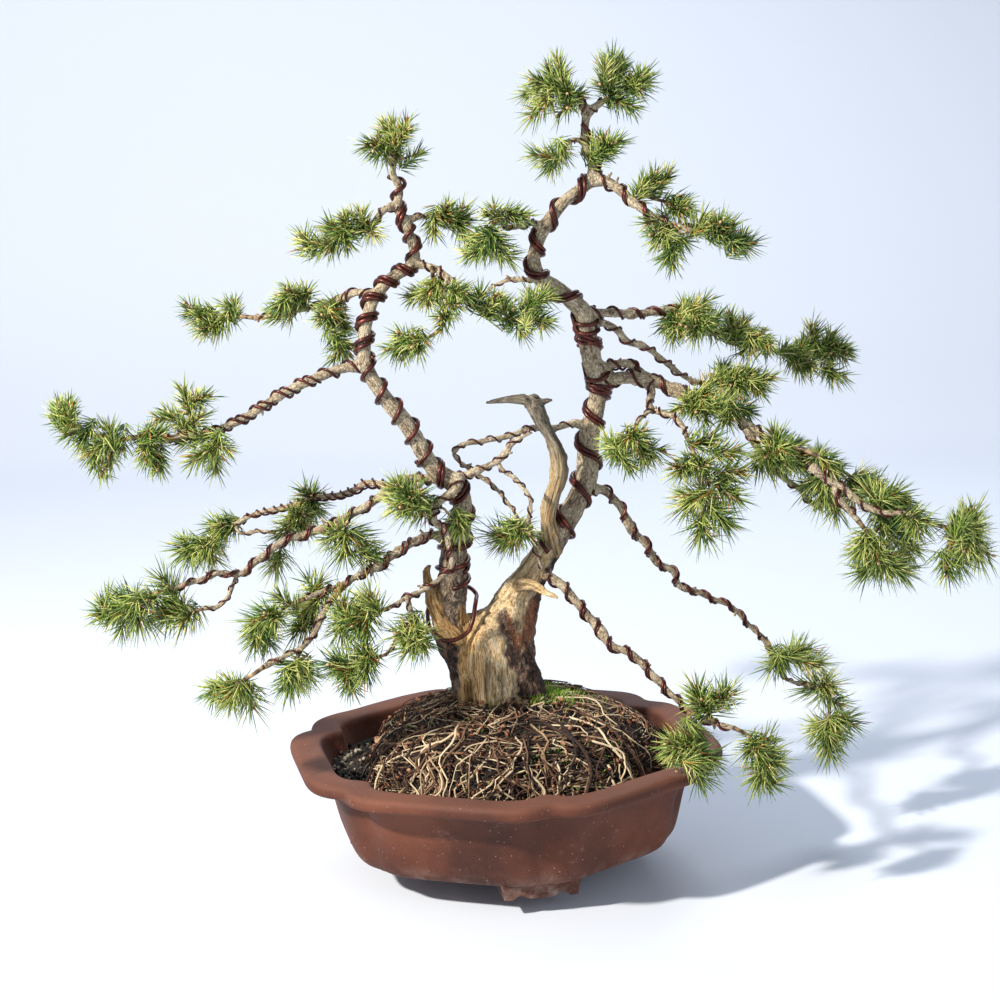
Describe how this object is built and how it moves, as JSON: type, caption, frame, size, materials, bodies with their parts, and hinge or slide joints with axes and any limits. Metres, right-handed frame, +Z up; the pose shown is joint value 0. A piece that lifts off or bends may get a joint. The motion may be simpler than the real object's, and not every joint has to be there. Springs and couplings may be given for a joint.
{
  "type": "scots pine bonsai",
  "caption": "Twin-trunk Scots pine bonsai with dead wood, wired branches and sprays of needles, in a lobed six-sided stoneware pot.",
  "frame": {"origin": "on the ground, under the middle of the whole tree with its pot", "axes": "+X to the right and +Z up as the tree is seen from its front, the front faces -Y"},
  "size_m": [1.1173, 0.5068, 0.9963],
  "materials": {
    "stoneware": "unglazed matt brown stoneware with fine pale speckles",
    "bark": "grey-tan scaly bark, with pale grooved dead wood at the base",
    "needles": "satin green needles on brown twigs",
    "roots": "matted dry tan roots with dark soil between them",
    "soil": "dark damp grit with pale pumice grains",
    "wire": "copper-brown anodised aluminium wire",
    "mesh_plastic": "black plastic mesh"
  },
  "bodies": {
    "root": {"pot": "stoneware", "drain_mesh_left": "mesh_plastic", "drain_mesh_right": "mesh_plastic", "soil": "soil", "root_ball": "roots", "tree": "bark", "left_trunk_wire": "wire", "right_trunk_wire": "wire", "anchor_loop_wire": "wire", "left_crown": "needles", "left_shoulder_spray": "needles", "gap_upper_spray": "needles", "gap_long_inner": "needles", "gap_drop_spray": "needles", "gap_long_tip": "needles", "left_upper_inner": "needles", "left_upper_mid": "needles", "left_upper_tip": "needles", "left_arm_tip": "needles", "left_arm_under": "needles", "left_arm_up": "needles", "left_arm_low": "needles", "left_back_mid": "needles", "left_back_tip": "needles", "left_long_tip": "needles", "left_long_mid": "needles", "left_long_inner": "needles", "left_hook_start": "needles", "left_hook_tip": "needles", "left_hook_low": "needles", "left_hook_far": "needles", "left_low_tip": "needles", "left_low_mid": "needles", "left_skirt_tip": "needles", "left_skirt_low": "needles", "cross_tip": "needles", "crown_left": "needles", "crown_right": "needles", "neck_left_spray": "needles", "neck_right_spray": "needles", "inner_upper_spray": "needles", "right_shoulder_up": "needles", "right_shoulder_low": "needles", "right_shoulder_tip": "needles", "right_upper_inner": "needles", "right_upper_mid": "needles", "right_upper_tip": "needles", "right_middle_spray": "needles", "right_arm_inner": "needles", "right_arm_mid": "needles", "right_arm_end_mid": "needles", "right_arm_end_tip": "needles", "right_arm_low_tip": "needles", "right_fall_spray": "needles", "right_fall_side_spray": "needles", "right_long_inner": "needles", "right_long_tip": "needles", "right_low_inner": "needles", "right_low_hang": "needles", "right_low_tip": "needles"}
  },
  "joints": []
}
